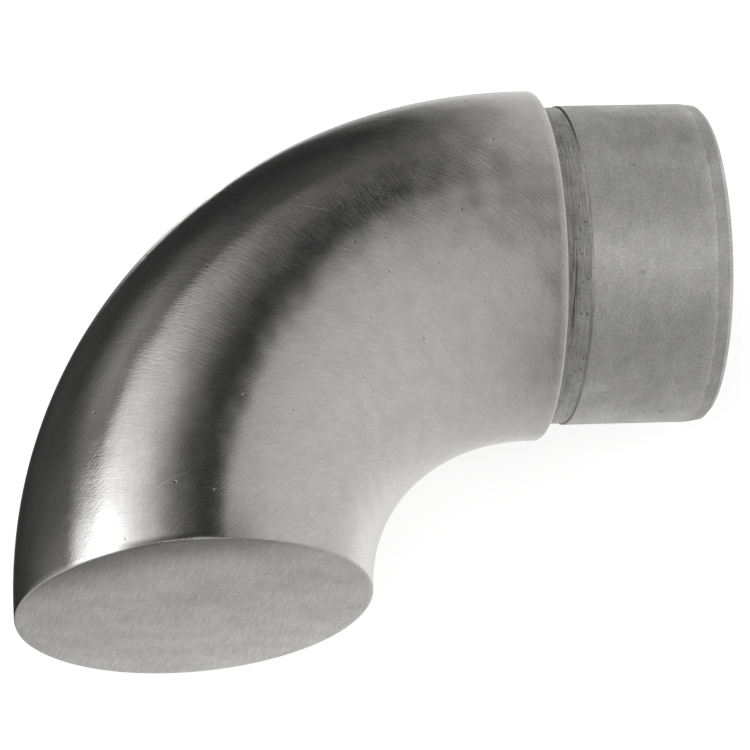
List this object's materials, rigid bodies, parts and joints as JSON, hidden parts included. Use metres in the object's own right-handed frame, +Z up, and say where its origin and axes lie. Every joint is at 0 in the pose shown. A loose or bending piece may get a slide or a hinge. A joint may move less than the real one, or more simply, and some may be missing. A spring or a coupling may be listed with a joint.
{
  "type": "handrail elbow",
  "caption": "Hollow cast handrail elbow, ninety degrees: a round satin body with a closed flat end bends to a square shoulder and a reduced spigot that slides into the rail tube.",
  "frame": {"origin": "on the surface the elbow lies on, at the centre of its outline box", "axes": "+X along the spigot, pointing out of the open end; -Y out of the closed flat end; +Z up, square to the plane of the bend"},
  "size_m": [0.0992, 0.0734, 0.0483],
  "materials": {
    "stainless_steel": "satin-brushed body, as-cast matte spigot"
  },
  "bodies": {
    "root": {"handrail_elbow": "stainless_steel"}
  },
  "joints": []
}
